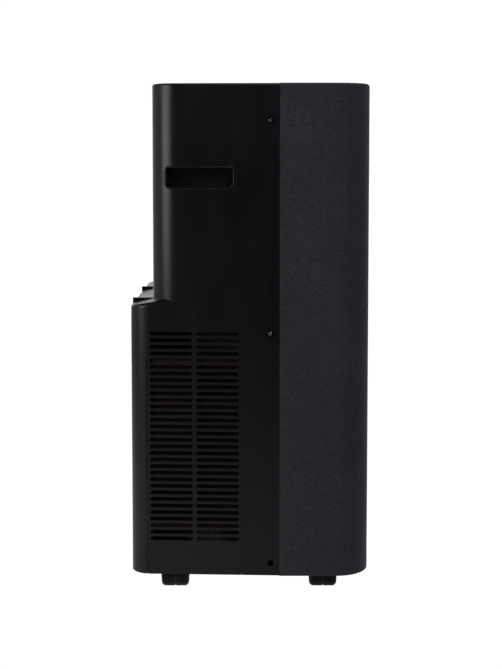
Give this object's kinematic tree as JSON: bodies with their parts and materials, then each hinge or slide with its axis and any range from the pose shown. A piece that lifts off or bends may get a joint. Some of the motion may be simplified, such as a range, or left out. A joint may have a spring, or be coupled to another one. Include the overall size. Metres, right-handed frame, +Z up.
{
  "type": "portable air conditioner",
  "caption": "Tall floor-standing air conditioner on swivel casters, with a fabric front, black rear casing, side grille and grips, top outlet flap and round rear exhaust.",
  "frame": {"origin": "on the floor under the middle of the machine's outline", "axes": "+Z up, -Y towards the fabric front, +Y towards the exhaust, -X towards the side with the pull-off grille panel"},
  "size_m": [0.354, 0.335, 0.716],
  "materials": {
    "housing": "satin black moulded shell with a faint spark texture",
    "fabric": "dark blue-grey knitted cloth stretched over the front",
    "carrier": "matte moulded",
    "top_plastic": "satin moulded",
    "control_gloss": "glossy fascia",
    "buttons": "satin",
    "board": "lacquered board",
    "inner_plastic": "moulded",
    "bare_steel": "galvanised",
    "screws": "black zinc",
    "filter": "frame with fine mesh",
    "fins": "close fins",
    "foam": "moulded grey foam",
    "fan_plastic": "moulded",
    "compressor_paint": "black enamel",
    "rubber": "moulded",
    "copper": "drawn tube",
    "capacitor_can": "drawn can",
    "base_plastic": "matte moulded",
    "caster_body": "moulded",
    "caster_tread": "moulded"
  },
  "bodies": {
    "root": {"accumulator": "compressor_paint", "base_pan": "base_plastic", "case_screws": "screws", "circuit_board": "board", "compressor": "compressor_paint", "compressor_feet": "rubber", "condenser_coil": "fins", "condenser_motor": "bare_steel", "condenser_scroll": "foam", "control_panel": "control_gloss", "cord_gland": "rubber", "drip_tray": "foam", "electrical_box": "bare_steel", "evaporator_coil": "fins", "evaporator_motor": "bare_steel", "evaporator_scroll": "foam", "exhaust_collar": "housing", "flap_motor": "bare_steel", "front_carrier": "carrier", "front_fabric": "fabric", "grip_cup_far": "housing", "grip_cup_near": "housing", "lower_drain_spout": "inner_plastic", "outlet_duct": "inner_plastic", "rear_housing": "housing", "refrigerant_lines": "copper", "run_capacitor": "capacitor_can", "top_panel": "top_plastic", "upper_drain_spout": "inner_plastic"},
    "outlet_flap": {"outlet_flap": "top_plastic"},
    "vane_link": {"vane_link": "inner_plastic"},
    "rear_grille": {"intake_grille": "housing", "intake_filter": "filter"},
    "side_panel": {"side_grille_panel": "housing", "condenser_filter": "filter"},
    "upper_drain_plug": {"upper_drain_plug": "rubber"},
    "lower_drain_plug": {"lower_drain_plug": "rubber"},
    "evaporator_wheel": {"evaporator_wheel": "fan_plastic"},
    "condenser_wheel": {"condenser_wheel": "fan_plastic"},
    "vane_1": {"vane_1": "inner_plastic"},
    "vane_2": {"vane_2": "inner_plastic"},
    "vane_3": {"vane_3": "inner_plastic"},
    "vane_4": {"vane_4": "inner_plastic"},
    "vane_5": {"vane_5": "inner_plastic"},
    "power_button": {"power_button": "buttons"},
    "mode_button": {"mode_button": "buttons"},
    "speed_button": {"speed_button": "buttons"},
    "cooler_button": {"cooler_button": "buttons"},
    "warmer_button": {"warmer_button": "buttons"},
    "timer_button": {"timer_button": "buttons"},
    "caster_fork_near_rear": {"caster_fork_near_rear": "caster_body"},
    "caster_wheels_near_rear": {"caster_wheels_near_rear": "caster_tread"},
    "caster_fork_near_front": {"caster_fork_near_front": "caster_body"},
    "caster_wheels_near_front": {"caster_wheels_near_front": "caster_tread"},
    "caster_fork_far_rear": {"caster_fork_far_rear": "caster_body"},
    "caster_wheels_far_rear": {"caster_wheels_far_rear": "caster_tread"},
    "caster_fork_far_front": {"caster_fork_far_front": "caster_body"},
    "caster_wheels_far_front": {"caster_wheels_far_front": "caster_tread"}
  },
  "joints": [
    {"name": "flap_hinge", "type": "hinge", "parent": "root", "child": "outlet_flap", "pos_m": [0, -0.052, 0.7122], "axis": [-1, 0, 0], "range_deg": [0, 85]},
    {"name": "vane_1_pivot", "type": "hinge", "parent": "root", "child": "vane_1", "pos_m": [-0.084, -0.083, 0.674], "axis": [0, 1, 0], "range_deg": [-40, 40]},
    {"name": "vane_2_pivot", "type": "hinge", "parent": "root", "child": "vane_2", "pos_m": [-0.042, -0.083, 0.674], "axis": [0, 1, 0], "range_deg": [-40, 40]},
    {"name": "vane_3_pivot", "type": "hinge", "parent": "root", "child": "vane_3", "pos_m": [0, -0.083, 0.674], "axis": [0, 1, 0], "range_deg": [-40, 40]},
    {"name": "vane_4_pivot", "type": "hinge", "parent": "root", "child": "vane_4", "pos_m": [0.042, -0.083, 0.674], "axis": [0, 1, 0], "range_deg": [-40, 40]},
    {"name": "vane_5_pivot", "type": "hinge", "parent": "root", "child": "vane_5", "pos_m": [0.084, -0.083, 0.674], "axis": [0, 1, 0], "range_deg": [-40, 40]},
    {"name": "vane_link_pivot", "type": "hinge", "parent": "vane_1", "child": "vane_link", "pos_m": [-0.084, -0.117, 0.655], "axis": [0, 1, 0], "range_deg": [-40, 40]},
    {"name": "power_button_press", "type": "slide", "parent": "root", "child": "power_button", "axis": [0, 0, -1], "range_m": [0, 0.0015], "stiffness_N_per_m": 500, "springref_m": -0.001},
    {"name": "mode_button_press", "type": "slide", "parent": "root", "child": "mode_button", "axis": [0, 0, -1], "range_m": [0, 0.0015], "stiffness_N_per_m": 500, "springref_m": -0.001},
    {"name": "speed_button_press", "type": "slide", "parent": "root", "child": "speed_button", "axis": [0, 0, -1], "range_m": [0, 0.0015], "stiffness_N_per_m": 500, "springref_m": -0.001},
    {"name": "cooler_button_press", "type": "slide", "parent": "root", "child": "cooler_button", "axis": [0, 0, -1], "range_m": [0, 0.0015], "stiffness_N_per_m": 500, "springref_m": -0.001},
    {"name": "warmer_button_press", "type": "slide", "parent": "root", "child": "warmer_button", "axis": [0, 0, -1], "range_m": [0, 0.0015], "stiffness_N_per_m": 500, "springref_m": -0.001},
    {"name": "timer_button_press", "type": "slide", "parent": "root", "child": "timer_button", "axis": [0, 0, -1], "range_m": [0, 0.0015], "stiffness_N_per_m": 500, "springref_m": -0.001},
    {"name": "rear_grille_pull", "type": "slide", "parent": "root", "child": "rear_grille", "axis": [0, 1, 0], "range_m": [0, 0.04]},
    {"name": "side_panel_pull", "type": "slide", "parent": "root", "child": "side_panel", "axis": [-1, 0, 0], "range_m": [0, 0.04]},
    {"name": "upper_plug_pull", "type": "slide", "parent": "root", "child": "upper_drain_plug", "axis": [0, 1, 0], "range_m": [0, 0.02]},
    {"name": "lower_plug_pull", "type": "slide", "parent": "root", "child": "lower_drain_plug", "axis": [0, 1, 0], "range_m": [0, 0.02]},
    {"name": "evaporator_fan_spin", "type": "hinge", "parent": "root", "child": "evaporator_wheel", "pos_m": [0, -0.083, 0.545], "axis": [0, 1, 0], "continuous": true},
    {"name": "condenser_fan_spin", "type": "hinge", "parent": "root", "child": "condenser_wheel", "pos_m": [-0.03, 0.064, 0.17], "axis": [1, 0, 0], "continuous": true},
    {"name": "caster_swivel_near_rear", "type": "hinge", "parent": "root", "child": "caster_fork_near_rear", "pos_m": [-0.121, 0.107, 0.05], "axis": [0, 0, 1], "continuous": true},
    {"name": "caster_roll_near_rear", "type": "hinge", "parent": "caster_fork_near_rear", "child": "caster_wheels_near_rear", "pos_m": [-0.132, 0.107, 0.02], "axis": [0, 1, 0], "continuous": true},
    {"name": "caster_swivel_near_front", "type": "hinge", "parent": "root", "child": "caster_fork_near_front", "pos_m": [-0.121, -0.104, 0.05], "axis": [0, 0, 1], "continuous": true},
    {"name": "caster_roll_near_front", "type": "hinge", "parent": "caster_fork_near_front", "child": "caster_wheels_near_front", "pos_m": [-0.132, -0.104, 0.02], "axis": [0, 1, 0], "continuous": true},
    {"name": "caster_swivel_far_rear", "type": "hinge", "parent": "root", "child": "caster_fork_far_rear", "pos_m": [0.121, 0.107, 0.05], "axis": [0, 0, 1], "continuous": true},
    {"name": "caster_roll_far_rear", "type": "hinge", "parent": "caster_fork_far_rear", "child": "caster_wheels_far_rear", "pos_m": [0.132, 0.107, 0.02], "axis": [0, 1, 0], "continuous": true},
    {"name": "caster_swivel_far_front", "type": "hinge", "parent": "root", "child": "caster_fork_far_front", "pos_m": [0.121, -0.104, 0.05], "axis": [0, 0, 1], "continuous": true},
    {"name": "caster_roll_far_front", "type": "hinge", "parent": "caster_fork_far_front", "child": "caster_wheels_far_front", "pos_m": [0.132, -0.104, 0.02], "axis": [0, 1, 0], "continuous": true}
  ],
  "couplings": [
    {"joint": "vane_2_pivot", "follows": "vane_1_pivot", "ratio": 1},
    {"joint": "vane_3_pivot", "follows": "vane_1_pivot", "ratio": 1},
    {"joint": "vane_4_pivot", "follows": "vane_1_pivot", "ratio": 1},
    {"joint": "vane_5_pivot", "follows": "vane_1_pivot", "ratio": 1},
    {"joint": "vane_link_pivot", "follows": "vane_1_pivot", "ratio": -1}
  ]
}
